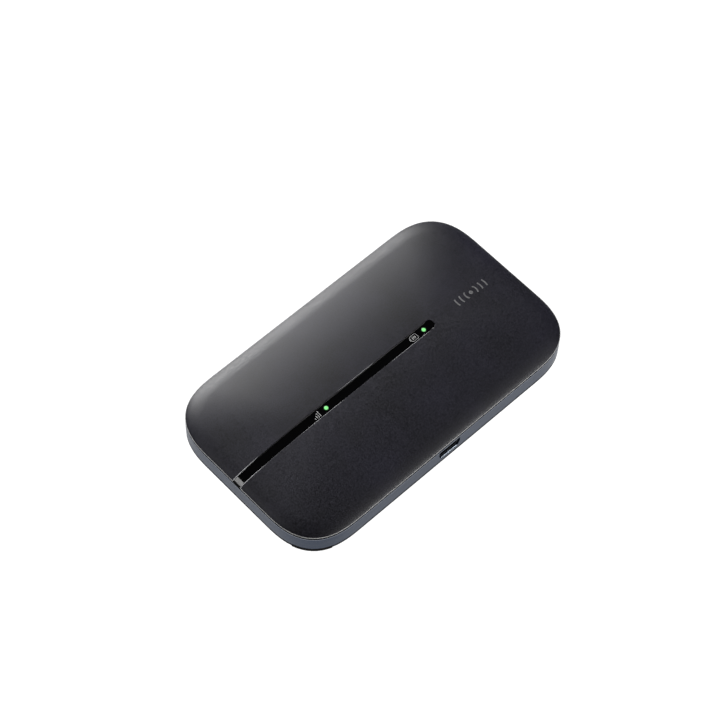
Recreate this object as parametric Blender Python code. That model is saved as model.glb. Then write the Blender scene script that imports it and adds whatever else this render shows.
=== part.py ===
"""Pocket mobile hotspot: a pillow-shaped radio with a removable back cover and battery.

Every constant is in millimetres and MM turns it into metres.  The object stands on z = 0
with its centre over the origin, +X runs along its length and the groove of the indicator
strip opens at the -X end.  The charging port is in the middle of the -Y side.
"""

import math

import bmesh
import bpy
from mathutils import Vector

MM = 0.001

# Overall size and plan outline
LENGTH = 100.0
WIDTH = 57.8
THICKNESS = 13.8
CORNER_RADIUS = 17.6
CORNER_EXPONENT = 2.7
CORNER_STEPS = 12
GAP = 0.3

# Heights of the parting lines
BACK_RIM_TOP = 4.3
BACK_CURVE_TOP = 4.05
FRAME_BOTTOM = BACK_RIM_TOP + GAP
FRAME_TOP = 10.3
COVER_BOTTOM = FRAME_TOP + GAP
CROWN_START = 10.8

# Shell thicknesses and curves
COVER_WALL = 1.3
LIP_OUTER_INSET = 1.9
LIP_INNER_INSET = 2.5
COVER_LIP_BOTTOM = 9.65
BACK_LIP_TOP = 5.2
EDGE_INSET = 4.5
EDGE_RISE = 0.77
EDGE_EXPONENT = 1.8
EDGE_STEPS = 5
PILLOW_INSET = 28.0
PILLOW_RISE = THICKNESS - CROWN_START - EDGE_RISE
PILLOW_STEPS = 6
BACK_WALL = 1.2
BACK_INSET = 6.0
BACK_EXPONENT = 1.5
BACK_INNER_INSET = 7.0
BACK_INNER_EXPONENT = 1.8
BACK_STEPS = 6
FRAME_WALL = 1.6
FRAME_CHAMFER = 0.3
FLOOR_BOTTOM = 6.2
FLOOR_TOP = 7.0

# Groove of the indicator strip
GROOVE_HALF = 1.5
GROOVE_END = 21.6
GROOVE_DEPTH = 0.35
STRIP_SIDE_GAP = 0.12
STRIP_START = -47.85
STRIP_THICKNESS = 1.9
STRIP_TOE_THICKNESS = 0.5
STRIP_STEPS = 8
STRIP_FLANGE = ((-32.0, -3.2, 11.0), (19.6, 3.2, 11.9))
LAMP_X = {"signal": -18.0, "battery": 18.0}
LAMP_HOLE_RADIUS = 0.75
LIGHT_PIPE_RADIUS = 0.63
LIGHT_PIPE_FOOT_RADIUS = 1.1
LIGHT_PIPE_BOTTOM = 9.1
LIGHT_PIPE_FOOT_TOP = 9.9
LIGHT_BOOT_OUTER = 2.1
LIGHT_BOOT_INNER = 1.35
LAMP_SIZE = (1.6, 0.9, 0.6)

# Power button at the open end of the groove
BUTTON_FRONT = -49.7
BUTTON_BACK = -48.25
BUTTON_HALF = 1.36
BUTTON_BOTTOM = 10.55
BUTTON_RECESS = 0.12
BUTTON_STEPS = 4
BUTTON_SHELF = ((-48.6, -1.3, 10.55), (-47.6, 1.3, 10.85))
BUTTON_LEG = ((-48.1, -1.2, 8.9), (-47.55, 1.2, 10.8))
SWITCH_BODY = ((-46.1, -2.2, 8.3), (-43.1, 2.2, 10.1))
SWITCH_POCKET = ((-46.5, -1.0, 8.7), (-45.1, 1.0, 9.7))
SWITCH_PLUNGER = ((-47.35, -0.85, 8.85), (-45.6, 0.85, 9.55))

# Main board and what it carries
BOARD_BOTTOM = 7.3
BOARD_TOP = 8.1
BOARD_INSET = 2.2
BOARD_END = 37.0
PART_FOOT = BOARD_TOP + 0.2
CAN_TOP = 10.3
CAN_SHEET = 0.3
CHIP_HEIGHT = 1.0
SHIELD_CANS = {
    "modem": ((-34.0, 4.6), (31.0, 21.5)),
    "radio": ((-34.0, -21.0), (-7.0, -4.6)),
    "power": ((7.0, -21.0), (33.0, -4.6)),
}
CHIPS = {
    "modem_chip": ((-20.0, 7.0), (-7.0, 20.0)),
    "memory_chip": ((2.0, 8.0), (12.0, 19.0)),
    "radio_chip": ((-24.0, -16.0), (-16.0, -8.0)),
    "power_chip": ((16.0, -16.0), (23.0, -9.0)),
}
HEAT_SPREADER = ((-34.0, 4.6, 10.6), (31.0, 21.5, 10.8))

# Micro-USB receptacle in the middle of the -Y side
PORT_BOTTOM = 6.2
PORT_TOP = 9.25
PORT_HALF_TOP = 3.7
PORT_HALF_BOTTOM = 2.95
PORT_SHEET = 0.3
PORT_FRONT = -28.7
PORT_BACK = -23.6
PORT_CLEARANCE = 0.15
PORT_NOTCH_HALF = 4.3
PORT_NOTCH_BACK = -22.9
PORT_TONGUE = ((-1.75, -27.9, 7.45), (1.75, -24.6, 8.1))
PORT_BLOCK = ((-2.4, -24.9, 6.8), (2.4, -24.1, 8.65))

# Battery, its terminals and its bay
BATTERY = ((-38.0, -21.5, 1.7), (26.0, 21.5, 5.9))
BATTERY_BEVEL = 1.0
TERMINAL_STRIP = ((26.15, -4.6, 2.5), (26.5, 4.6, 5.2))
TERMINAL_BLOCK = ((27.9, -4.6, 2.6), (29.6, 4.6, 7.0))
TERMINAL_SPRING_HALF = 0.5
TERMINAL_PITCH = 2.6
TERMINAL_COUNT = 3
SPRING_X = (26.75, 27.65)
SPRING_Z = (3.0, 4.9)
BAY_GAP = 0.5
BAY_RIB = 0.9
BAY_RIB_BOTTOM = 3.2

# Card socket and reset key, both on the underside of the board
CARD_CAGE = ((30.2, -1.0, 5.3), (44.2, 15.0, 7.0))
CARD_CAGE_SHEET = 0.3
CARD_BASE = ((30.8, -0.8, 6.55), (43.6, 14.4, 6.85))
RESET_CENTRE = (37.0, -19.0)
RESET_BODY_HALF = 1.6
RESET_BODY_Z = (5.2, 7.0)
RESET_PLUNGER_RADIUS = 0.7
RESET_POCKET_RADIUS = 0.85
RESET_PLUNGER_Z = (4.3, 5.9)
RESET_POCKET_TOP = 6.3
UNDERSIDE_WINDOW_GAP = 0.4

# Aerials
AERIAL_CARRIER = ((38.0, -14.0, 7.5), (46.0, 14.0, 10.1))
AERIAL_CARRIER_WALL = 1.0
MAIN_AERIAL = ((38.6, -13.0, 10.4), (45.0, 13.0, 10.6))
SECOND_AERIAL = ((-44.5, 6.0, 10.4), (-37.5, 15.0, 10.6))
WIFI_AERIAL = ((-44.5, -15.0, 10.4), (-37.5, -6.0, 10.6))

# Fasteners that hold the frame and the board to the top cover
SCREW_PLACES = (
    (-42.0, -19.3),
    (-42.0, 19.3),
    (-12.0, -24.7),
    (-12.0, 24.7),
    (42.0, -19.3),
    (42.0, 19.3),
)
SCREW_RADIUS = 0.7
SCREW_TIP = 10.6
SCREW_HEAD_RADIUS = 1.4
SCREW_HEAD_Z = (5.1, 5.95)
SCREW_SOCKET_RADIUS = 0.55
SCREW_SOCKET_TOP = 5.55
SCREW_HOLE_RADIUS = 0.95
BOSS_RADIUS = 1.9
BOSS_BOTTOM = 8.4
BOSS_TOP = 11.7
BOSS_BORE_TOP = 10.9

# Snap tabs and nail notch of the back cover
TAB_INSET = 1.95
TAB_THICKNESS = 0.8
TAB_LENGTH = 5.0
TAB_Z = (2.2, 5.8)
TAB_X_ON_SIDES = (-27.0, 27.0)
NOTCH_WIDTH = 11.0
NOTCH_HEIGHT = 0.6
NOTCH_DEPTH = 1.0

ROUND_SIDES = 24
SMALL_ROUND_SIDES = 16
SMOOTH_ANGLE = math.radians(35)

# Linear base colour, roughness and metallic value of each material
MATERIALS = {
    "charcoal_plastic": ((0.021, 0.020, 0.024), 0.42, 0.0),
    "piano_black": ((0.002, 0.002, 0.003), 0.08, 0.0),
    "button_black": ((0.010, 0.010, 0.012), 0.22, 0.0),
    "slate_plastic": ((0.095, 0.115, 0.150), 0.45, 0.0),
    "navy_plastic": ((0.012, 0.015, 0.024), 0.50, 0.0),
    "green_lens": ((0.250, 1.000, 0.300), 0.25, 0.0),
    "lamp_white": ((0.700, 0.700, 0.640), 0.40, 0.0),
    "black_rubber": ((0.012, 0.012, 0.012), 0.85, 0.0),
    "board_green": ((0.010, 0.070, 0.035), 0.45, 0.0),
    "tinned_steel": ((0.560, 0.560, 0.550), 0.30, 1.0),
    "chip_black": ((0.020, 0.020, 0.022), 0.55, 0.0),
    "contact_gold": ((0.830, 0.570, 0.190), 0.22, 1.0),
    "graphite": ((0.060, 0.060, 0.065), 0.40, 0.5),
    "cell_foil": ((0.420, 0.430, 0.450), 0.38, 0.6),
    "screw_zinc": ((0.380, 0.380, 0.400), 0.32, 1.0),
    "port_plastic": ((0.012, 0.012, 0.013), 0.45, 0.0),
    "aerial_copper": ((0.620, 0.330, 0.180), 0.30, 1.0),
}


def clear_scene():
    for old in list(bpy.data.objects):
        bpy.data.objects.remove(old, do_unlink=True)


def make_material(name):
    colour, roughness, metallic = MATERIALS[name]
    material = bpy.data.materials.get(name)
    if material is None:
        material = bpy.data.materials.new(name)
        material.use_nodes = True
        shader = material.node_tree.nodes["Principled BSDF"]
        shader.inputs["Base Color"].default_value = (*colour, 1.0)
        shader.inputs["Roughness"].default_value = roughness
        shader.inputs["Metallic"].default_value = metallic
    return material


def add_object(name, points, faces, material, origin=(0.0, 0.0, 0.0)):
    """A mesh object from points in millimetres, with its own origin there too."""
    start = Vector(origin)
    mesh = bpy.data.meshes.new(name)
    mesh.from_pydata([(Vector(point) - start) * MM for point in points], [], faces)
    work = bmesh.new()
    work.from_mesh(mesh)
    bmesh.ops.recalc_face_normals(work, faces=work.faces)
    work.to_mesh(mesh)
    work.free()
    mesh.shade_smooth()
    mesh.set_sharp_from_angle(angle=SMOOTH_ANGLE)
    mesh.materials.append(make_material(material))
    new = bpy.data.objects.new(name, mesh)
    new.location = start * MM
    bpy.context.collection.objects.link(new)
    return new


def add_loft(name, rings, material, origin=(0.0, 0.0, 0.0)):
    """A closed skin through rings of equal length, with a flat cap on each end ring."""
    count = len(rings[0])
    points = [point for ring in rings for point in ring]
    faces = []
    for level in range(len(rings) - 1):
        low, high = level * count, (level + 1) * count
        for i in range(count):
            j = (i + 1) % count
            faces.append((low + i, low + j, high + j, high + i))
    faces.append(tuple(range(count)))
    faces.append(tuple(range(len(points) - count, len(points))))
    return add_object(name, points, faces, material, origin)


def add_box(name, corners, material, bevel=0.0, origin=(0.0, 0.0, 0.0)):
    (x0, y0, z0), (x1, y1, z1) = corners
    ring = ((x0, y0), (x1, y0), (x1, y1), (x0, y1))
    rings = [[(x, y, z) for x, y in ring] for z in (z0, z1)]
    box = add_loft(name, rings, material, origin)
    if bevel:
        edge = box.modifiers.new("edges", "BEVEL")
        edge.width = bevel * MM
        edge.segments = 2
        edge.limit_method = "ANGLE"
    return box


def circle(centre, radius, z, sides):
    turn = 2 * math.pi / sides
    return [
        (centre[0] + radius * math.cos(i * turn), centre[1] + radius * math.sin(i * turn), z)
        for i in range(sides)
    ]


def add_turned(name, centre, profile, material, sides=ROUND_SIDES, origin=(0.0, 0.0, 0.0)):
    """A round solid about a vertical axis, from (radius, z) pairs listed end to end."""
    rings = [circle(centre, radius, z, sides) for radius, z in profile]
    return add_loft(name, rings, material, origin)


def add_ring(name, centre, outer, inner, bottom, top, material, sides=ROUND_SIDES):
    """A round tube about a vertical axis."""
    levels = ((outer, bottom), (outer, top), (inner, top), (inner, bottom))
    rings = [circle(centre, radius, z, sides) for radius, z in levels]
    points = [point for ring in rings for point in ring]
    faces = []
    for level in range(len(rings)):
        low, high = level * sides, (level + 1) % len(rings) * sides
        for i in range(sides):
            j = (i + 1) % sides
            faces.append((low + i, low + j, high + j, high + i))
    return add_object(name, points, faces, material)


def combine(target, tool, operation):
    """Joins a hidden helper to the target, or cuts it away."""
    tool.hide_render = True
    tool.display_type = "WIRE"
    step = target.modifiers.new(tool.name, "BOOLEAN")
    step.operation = operation
    step.solver = "EXACT"
    step.object = tool


def cut(target, tool):
    combine(target, tool, "DIFFERENCE")


def join(target, tool):
    combine(target, tool, "UNION")


def grown(corners, by, z=None):
    """The box made larger by a margin sideways, and from z[0] to z[1] in height."""
    (x0, y0, z0), (x1, y1, z1) = corners
    low, high = z or (z0, z1)
    return ((x0 - by, y0 - by, low), (x1 + by, y1 + by, high))


def corner_radius(inset):
    """It shrinks by the inset near the edge, and further in with the half width that is left."""
    near_edge = min(inset, EDGE_INSET)
    return (CORNER_RADIUS - near_edge) * (WIDTH / 2 - inset) / (WIDTH / 2 - near_edge)


def outline(inset, z):
    """One level ring of the plan outline, moved inwards by inset."""
    half_x, half_y = LENGTH / 2 - inset, WIDTH / 2 - inset
    radius = corner_radius(inset)
    ring = []
    for quarter in range(4):
        for step in range(CORNER_STEPS + 1):
            angle = (quarter + step / CORNER_STEPS) * math.pi / 2
            across, along = math.cos(angle), math.sin(angle)
            power = abs(across) ** CORNER_EXPONENT + abs(along) ** CORNER_EXPONENT
            reach = radius / power ** (1 / CORNER_EXPONENT)
            side_x = 1 if quarter in (0, 3) else -1
            side_y = 1 if quarter in (0, 1) else -1
            x = side_x * (half_x - radius) + reach * across
            y = side_y * (half_y - radius) + reach * along
            ring.append((x, y, z))
    return ring


def crown_height(inset):
    """Height of the top cover's outer skin: a rounded edge on top of a gentle pillow."""
    edge = max(0.0, 1 - inset / EDGE_INSET)
    pillow = max(0.0, 1 - inset / PILLOW_INSET)
    edge_rise = EDGE_RISE * (1 - edge**EDGE_EXPONENT) ** (1 / EDGE_EXPONENT)
    return CROWN_START + edge_rise + PILLOW_RISE * (1 - pillow**2)


def crown_insets(start):
    """Insets of the top cover's rings from start inwards, closest where its edge turns over."""
    insets = []
    for step in range(EDGE_STEPS):
        angle = step / EDGE_STEPS * math.pi / 2
        insets.append(EDGE_INSET * (1 - math.cos(angle) ** (2 / EDGE_EXPONENT)))
    for step in range(PILLOW_STEPS + 1):
        insets.append(EDGE_INSET + (PILLOW_INSET - EDGE_INSET) * step / PILLOW_STEPS)
    return [start] + [inset for inset in insets if inset > start]


def curve_rings(start, end, exponent, steps):
    """Rings along a rounded shoulder from (inset, z) start, where it is upright, to end."""
    rings = []
    for step in range(steps + 1):
        angle = step / steps * math.pi / 2
        inwards = 1 - math.cos(angle) ** (2 / exponent)
        along = math.sin(angle) ** (2 / exponent)
        inset = start[0] + (end[0] - start[0]) * inwards
        rings.append(outline(inset, start[1] + (end[1] - start[1]) * along))
    return rings


def make_top_cover():
    outer = [outline(inset, crown_height(inset)) for inset in crown_insets(0.0)]
    inner = [outline(inset, crown_height(inset) - COVER_WALL) for inset in crown_insets(LIP_INNER_INSET)]
    rim = [
        outline(LIP_INNER_INSET, COVER_LIP_BOTTOM),
        outline(LIP_OUTER_INSET, COVER_LIP_BOTTOM),
        outline(LIP_OUTER_INSET, COVER_BOTTOM),
        outline(0.0, COVER_BOTTOM),
    ]
    cover = add_loft("top_cover", inner[::-1] + rim + outer, "charcoal_plastic")
    for number, place in enumerate(SCREW_PLACES, 1):
        boss = ((BOSS_RADIUS, BOSS_BOTTOM), (BOSS_RADIUS, BOSS_TOP))
        bore = ((SCREW_HOLE_RADIUS, BOSS_BOTTOM - 1), (SCREW_HOLE_RADIUS, BOSS_BORE_TOP))
        join(cover, add_turned(f"boss_{number}", place, boss, "charcoal_plastic"))
        cut(cover, add_turned(f"boss_bore_{number}", place, bore, "charcoal_plastic"))
    cut(cover, make_groove_cutter())
    return cover


def make_groove_cutter():
    """A tall stadium, open past the -X end and round at the other."""
    centre = GROOVE_END - GROOVE_HALF
    plan = [(-LENGTH, GROOVE_HALF), (-LENGTH, -GROOVE_HALF)]
    for step in range(STRIP_STEPS + 1):
        angle = (step / STRIP_STEPS - 0.5) * math.pi
        plan.append((centre + GROOVE_HALF * math.cos(angle), GROOVE_HALF * math.sin(angle)))
    rings = [[(x, y, z) for x, y in plan] for z in (COVER_LIP_BOTTOM - 1, THICKNESS + 1)]
    return add_loft("groove_cutter", rings, "charcoal_plastic")


def strip_half_width(x):
    """Half the strip's width, which closes in a half circle at the +X end."""
    half = GROOVE_HALF - STRIP_SIDE_GAP
    past = x - (GROOVE_END - GROOVE_HALF)
    return half if past <= 0 else math.sqrt(max(half**2 - past**2, 0.0))


def make_indicator_strip():
    """The glossy insert in the groove, with a flange that bears on the cover's inside."""
    shoulder = PILLOW_INSET - LENGTH / 2
    reach = shoulder - STRIP_START
    stations = [STRIP_START + reach * (step / STRIP_STEPS) ** 1.5 for step in range(STRIP_STEPS + 1)]
    centre, half = GROOVE_END - GROOVE_HALF, GROOVE_HALF - STRIP_SIDE_GAP
    for step in range(STRIP_STEPS):
        stations.append(centre + half * math.sin(step / STRIP_STEPS * math.pi / 2))
    rings = []
    for x in stations:
        side = strip_half_width(x)
        top = crown_height(min(LENGTH / 2 + x, PILLOW_INSET)) - GROOVE_DEPTH
        toe = max(0.0, (shoulder - x) / reach)
        low = top - STRIP_THICKNESS + toe * (STRIP_THICKNESS - STRIP_TOE_THICKNESS)
        rings.append([(x, -side, low), (x, side, low), (x, side, top), (x, -side, top)])
    strip = add_loft("indicator_strip", rings, "piano_black")
    join(strip, add_box("strip_flange", STRIP_FLANGE, "piano_black"))
    for name, x in LAMP_X.items():
        hole = ((LAMP_HOLE_RADIUS, STRIP_FLANGE[0][2] - 1), (LAMP_HOLE_RADIUS, THICKNESS))
        cut(strip, add_turned(f"{name}_lamp_hole", (x, 0.0), hole, "piano_black", SMALL_ROUND_SIDES))
    return strip


def make_lamps():
    """For each lamp: the emitter on the board, the rubber boot and the light pipe."""
    length, width, height = LAMP_SIZE
    for name, x in LAMP_X.items():
        low = (x - length / 2, -width / 2, PART_FOOT)
        high = (x + length / 2, width / 2, PART_FOOT + height)
        add_box(f"{name}_lamp", (low, high), "lamp_white")
        add_ring(
            f"{name}_light_boot",
            (x, 0.0),
            LIGHT_BOOT_OUTER,
            LIGHT_BOOT_INNER,
            PART_FOOT,
            STRIP_FLANGE[0][2] - GAP,
            "black_rubber",
            SMALL_ROUND_SIDES,
        )
        pipe = (
            (LIGHT_PIPE_FOOT_RADIUS, LIGHT_PIPE_BOTTOM),
            (LIGHT_PIPE_FOOT_RADIUS, LIGHT_PIPE_FOOT_TOP),
            (LIGHT_PIPE_RADIUS, LIGHT_PIPE_FOOT_TOP),
            (LIGHT_PIPE_RADIUS, THICKNESS - GROOVE_DEPTH),
        )
        add_turned(f"{name}_light_pipe", (x, 0.0), pipe, "green_lens", SMALL_ROUND_SIDES)


def make_power_button():
    """The key cap, whose top follows the crown, and the leg that reaches the switch."""
    pivot = (BUTTON_FRONT, 0.0, BUTTON_BOTTOM)
    depth = BUTTON_FRONT - BUTTON_BACK
    rings = []
    for step in range(BUTTON_STEPS + 1):
        x = BUTTON_BACK + depth * step / BUTTON_STEPS
        top = crown_height(LENGTH / 2 + x) - BUTTON_RECESS
        corners = ((-1, BUTTON_BOTTOM), (1, BUTTON_BOTTOM), (1, top), (-1, top))
        rings.append([(x, side * BUTTON_HALF, z) for side, z in corners])
    button = add_loft("power_button", rings, "button_black", pivot)
    join(button, add_box("button_shelf", BUTTON_SHELF, "button_black"))
    join(button, add_box("button_leg", BUTTON_LEG, "button_black"))
    switch = add_box("power_switch_body", SWITCH_BODY, "chip_black")
    cut(switch, add_box("switch_pocket", SWITCH_POCKET, "chip_black"))
    add_box("power_switch_plunger", SWITCH_PLUNGER, "port_plastic", origin=SWITCH_PLUNGER[0])


def make_mid_frame():
    """The slate side band and the floor between the board and the battery, in one moulding."""
    rings = [
        outline(FRAME_WALL, FLOOR_BOTTOM),
        outline(FRAME_WALL, FRAME_BOTTOM),
        outline(FRAME_CHAMFER, FRAME_BOTTOM),
        outline(0.0, FRAME_BOTTOM + FRAME_CHAMFER),
        outline(0.0, FRAME_TOP - FRAME_CHAMFER),
        outline(FRAME_CHAMFER, FRAME_TOP),
        outline(FRAME_WALL, FRAME_TOP),
        outline(FRAME_WALL, FLOOR_TOP),
    ]
    frame = add_loft("mid_frame", rings, "slate_plastic")
    join(frame, make_bay_rib())
    cut(frame, add_port_prism("port_opening", PORT_CLEARANCE, -WIDTH, PORT_NOTCH_BACK))
    notch = (
        (-PORT_NOTCH_HALF, -WIDTH / 2 + FRAME_WALL, FLOOR_BOTTOM - 1),
        (PORT_NOTCH_HALF, PORT_NOTCH_BACK, FLOOR_TOP + 1),
    )
    cut(frame, add_box("port_floor_notch", notch, "slate_plastic"))
    seated = {"terminal": TERMINAL_BLOCK, "card": CARD_CAGE, "reset": reset_body_corners()}
    for name, corners in seated.items():
        window = grown(corners, UNDERSIDE_WINDOW_GAP, (FLOOR_BOTTOM - 1, FLOOR_TOP + 1))
        cut(frame, add_box(f"{name}_window", window, "slate_plastic"))
    for number, place in enumerate(SCREW_PLACES, 1):
        hole = ((SCREW_HOLE_RADIUS, FLOOR_BOTTOM - 1), (SCREW_HOLE_RADIUS, FLOOR_TOP + 1))
        cut(frame, add_turned(f"floor_hole_{number}", place, hole, "slate_plastic", SMALL_ROUND_SIDES))


def make_bay_rib():
    """The upright rib that keeps the battery in place, open on the terminal side."""
    inner, top = grown(BATTERY, BAY_GAP), FLOOR_BOTTOM + BAY_GAP
    outer = grown(inner, BAY_RIB, (BAY_RIB_BOTTOM, top))
    rib = add_box("bay_rib", outer, "slate_plastic")
    (x0, y0, _), (x1, y1, _) = inner
    cut(rib, add_box("bay_inside", ((x0, y0, 0.0), (x1, y1, FRAME_TOP)), "slate_plastic"))
    (_, y0, z0), (_, y1, z1) = grown(TERMINAL_BLOCK, BAY_GAP)
    mouth = ((x1 - 1, y0, z0 - 2), (x1 + 2, y1, z1))
    cut(rib, add_box("bay_mouth", mouth, "slate_plastic"))
    return rib


def port_section(margin, y):
    """The receptacle's outline, wide at the top and narrow at the bottom."""
    shoulder = (PORT_TOP - PORT_BOTTOM) / 2
    wide, narrow = PORT_HALF_TOP + margin, PORT_HALF_BOTTOM + margin
    low, high = PORT_BOTTOM - margin, PORT_TOP + margin
    middle = low + shoulder
    return [
        (-narrow, y, low),
        (narrow, y, low),
        (wide, y, middle),
        (wide, y, high),
        (-wide, y, high),
        (-wide, y, middle),
    ]


def add_port_prism(name, margin, front, back):
    rings = [port_section(margin, front), port_section(margin, back)]
    return add_loft(name, rings, "slate_plastic")


def make_port():
    rings = [
        port_section(-PORT_SHEET, PORT_BACK - GAP),
        port_section(-PORT_SHEET, PORT_FRONT),
        port_section(0.0, PORT_FRONT),
        port_section(0.0, PORT_BACK),
    ]
    add_loft("usb_shell", rings, "tinned_steel")
    tongue = add_box("usb_tongue", PORT_TONGUE, "port_plastic")
    join(tongue, add_box("tongue_block", PORT_BLOCK, "port_plastic"))


def make_board():
    """The main board, cut short of the aerials and notched for the sunk receptacle."""
    rings = [outline(BOARD_INSET, BOARD_BOTTOM), outline(BOARD_INSET, BOARD_TOP)]
    board = add_loft("main_board", rings, "board_green")
    end = ((BOARD_END, -WIDTH, BOARD_BOTTOM - 1), (LENGTH, WIDTH, BOARD_TOP + 1))
    notch = (
        (-PORT_NOTCH_HALF, -WIDTH, BOARD_BOTTOM - 1),
        (PORT_NOTCH_HALF, PORT_NOTCH_BACK, BOARD_TOP + 1),
    )
    cut(board, add_box("board_end_cutter", end, "board_green"))
    cut(board, add_box("board_port_notch", notch, "board_green"))
    for number, place in enumerate(SCREW_PLACES, 1):
        hole = ((SCREW_HOLE_RADIUS, BOARD_BOTTOM - 1), (SCREW_HOLE_RADIUS, BOARD_TOP + 1))
        if place[0] < BOARD_END:
            cut(board, add_turned(f"board_hole_{number}", place, hole, "board_green", SMALL_ROUND_SIDES))


def make_board_parts():
    for name, ((x0, y0), (x1, y1)) in CHIPS.items():
        add_box(name, ((x0, y0, PART_FOOT), (x1, y1, PART_FOOT + CHIP_HEIGHT)), "chip_black")
    for name, ((x0, y0), (x1, y1)) in SHIELD_CANS.items():
        can = add_box(f"{name}_shield_can", ((x0, y0, PART_FOOT), (x1, y1, CAN_TOP)), "tinned_steel")
        inside = (
            (x0 + CAN_SHEET, y0 + CAN_SHEET, PART_FOOT - 1),
            (x1 - CAN_SHEET, y1 - CAN_SHEET, CAN_TOP - CAN_SHEET),
        )
        cut(can, add_box(f"{name}_can_inside", inside, "tinned_steel"))
    add_box("heat_spreader", HEAT_SPREADER, "graphite")


def make_battery():
    add_box("battery_pack", BATTERY, "cell_foil", BATTERY_BEVEL, BATTERY[0])
    add_box("battery_terminals", TERMINAL_STRIP, "contact_gold", 0.0, BATTERY[0])
    add_box("terminal_block", TERMINAL_BLOCK, "port_plastic")
    for number in range(TERMINAL_COUNT):
        y = (number - (TERMINAL_COUNT - 1) / 2) * TERMINAL_PITCH
        (x0, x1), (z0, z1) = SPRING_X, SPRING_Z
        leaf = ((x0, y - TERMINAL_SPRING_HALF, z0), (x1, y + TERMINAL_SPRING_HALF, z1))
        add_box(f"terminal_spring_{number + 1}", leaf, "contact_gold")


def make_card_socket():
    """The card cage, open towards -Y, over its contact base."""
    cage = add_box("card_cage", CARD_CAGE, "tinned_steel")
    (x0, y0, z0), (x1, y1, z1) = CARD_CAGE
    sheet = CARD_CAGE_SHEET
    inside = ((x0 + sheet, y0 - 1, z0 + sheet), (x1 - sheet, y1 - sheet, z1 + 1))
    cut(cage, add_box("card_cage_inside", inside, "tinned_steel"))
    add_box("card_contact_base", CARD_BASE, "port_plastic")


def reset_body_corners():
    (x, y), half, (low, high) = RESET_CENTRE, RESET_BODY_HALF, RESET_BODY_Z
    return ((x - half, y - half, low), (x + half, y + half, high))


def make_reset_key():
    body = add_box("reset_switch_body", reset_body_corners(), "chip_black")
    pocket = ((RESET_POCKET_RADIUS, RESET_BODY_Z[0] - 1), (RESET_POCKET_RADIUS, RESET_POCKET_TOP))
    cut(body, add_turned("reset_pocket", RESET_CENTRE, pocket, "chip_black", SMALL_ROUND_SIDES))
    plunger = tuple((RESET_PLUNGER_RADIUS, z) for z in RESET_PLUNGER_Z)
    add_turned(
        "reset_plunger",
        RESET_CENTRE,
        plunger,
        "port_plastic",
        SMALL_ROUND_SIDES,
        (*RESET_CENTRE, RESET_PLUNGER_Z[0]),
    )


def make_aerials():
    carrier = add_box("aerial_carrier", AERIAL_CARRIER, "port_plastic")
    wall = AERIAL_CARRIER_WALL
    (x0, y0, z0), (x1, y1, z1) = AERIAL_CARRIER
    inside = ((x0 + wall, y0 + wall, z0 - wall), (x1 - wall, y1 - wall, z1 - wall))
    cut(carrier, add_box("aerial_carrier_inside", inside, "port_plastic"))
    add_box("main_aerial", MAIN_AERIAL, "aerial_copper")
    add_box("second_aerial", SECOND_AERIAL, "aerial_copper")
    add_box("wifi_aerial", WIFI_AERIAL, "aerial_copper")


def make_screws():
    """Screws driven upwards from inside the battery bay, each with a round driver socket."""
    low, high = SCREW_HEAD_Z
    profile = (
        (SCREW_SOCKET_RADIUS, SCREW_SOCKET_TOP),
        (SCREW_SOCKET_RADIUS, low),
        (SCREW_HEAD_RADIUS, low),
        (SCREW_HEAD_RADIUS, high),
        (SCREW_RADIUS, high),
        (SCREW_RADIUS, SCREW_TIP),
    )
    for number, place in enumerate(SCREW_PLACES, 1):
        add_turned(f"screw_{number}", place, profile, "screw_zinc", SMALL_ROUND_SIDES)


def make_back_cover():
    outer = curve_rings((0.0, BACK_CURVE_TOP), (BACK_INSET, 0.0), BACK_EXPONENT, BACK_STEPS)
    inner = curve_rings(
        (LIP_INNER_INSET, BACK_RIM_TOP),
        (BACK_INNER_INSET, BACK_WALL),
        BACK_INNER_EXPONENT,
        BACK_STEPS - 1,
    )
    rim = [
        outline(LIP_INNER_INSET, BACK_LIP_TOP),
        outline(LIP_OUTER_INSET, BACK_LIP_TOP),
        outline(LIP_OUTER_INSET, BACK_RIM_TOP),
        outline(0.0, BACK_RIM_TOP),
    ]
    cover = add_loft("back_cover", inner[::-1] + rim + outer, "navy_plastic")
    near, far = WIDTH / 2 - TAB_INSET - TAB_THICKNESS, WIDTH / 2 - TAB_INSET
    for side in (-1, 1):
        for number, x in enumerate(TAB_X_ON_SIDES, 1):
            edges = sorted((side * near, side * far))
            tab = ((x - TAB_LENGTH / 2, edges[0], TAB_Z[0]), (x + TAB_LENGTH / 2, edges[1], TAB_Z[1]))
            join(cover, add_box(f"side_tab_{side + 1}_{number}", tab, "navy_plastic"))
    near, far = LENGTH / 2 - TAB_INSET - TAB_THICKNESS, LENGTH / 2 - TAB_INSET
    for side in (-1, 1):
        edges = sorted((side * near, side * far))
        tab = ((edges[0], -TAB_LENGTH / 2, TAB_Z[0]), (edges[1], TAB_LENGTH / 2, TAB_Z[1]))
        join(cover, add_box(f"end_tab_{side + 1}", tab, "navy_plastic"))
    cut(cover, make_nail_notch())


def make_nail_notch():
    """A low slot in the rim at the -X -Y corner, turned to face it."""
    reach = CORNER_RADIUS / 2 ** (1 / CORNER_EXPONENT)
    corner = (
        -LENGTH / 2 + CORNER_RADIUS - reach,
        -WIDTH / 2 + CORNER_RADIUS - reach,
    )
    half = NOTCH_WIDTH / 2
    low = BACK_RIM_TOP - NOTCH_HEIGHT
    inner, outer = -NOTCH_DEPTH, NOTCH_DEPTH * 3
    diagonal = math.sqrt(0.5)
    plan = []
    for out, side in ((inner, -half), (outer, -half), (outer, half), (inner, half)):
        x = corner[0] + (side - out) * diagonal
        y = corner[1] - (side + out) * diagonal
        plan.append((x, y))
    rings = [[(x, y, z) for x, y in plan] for z in (low, BACK_RIM_TOP + 1)]
    return add_loft("nail_notch", rings, "navy_plastic")


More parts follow.
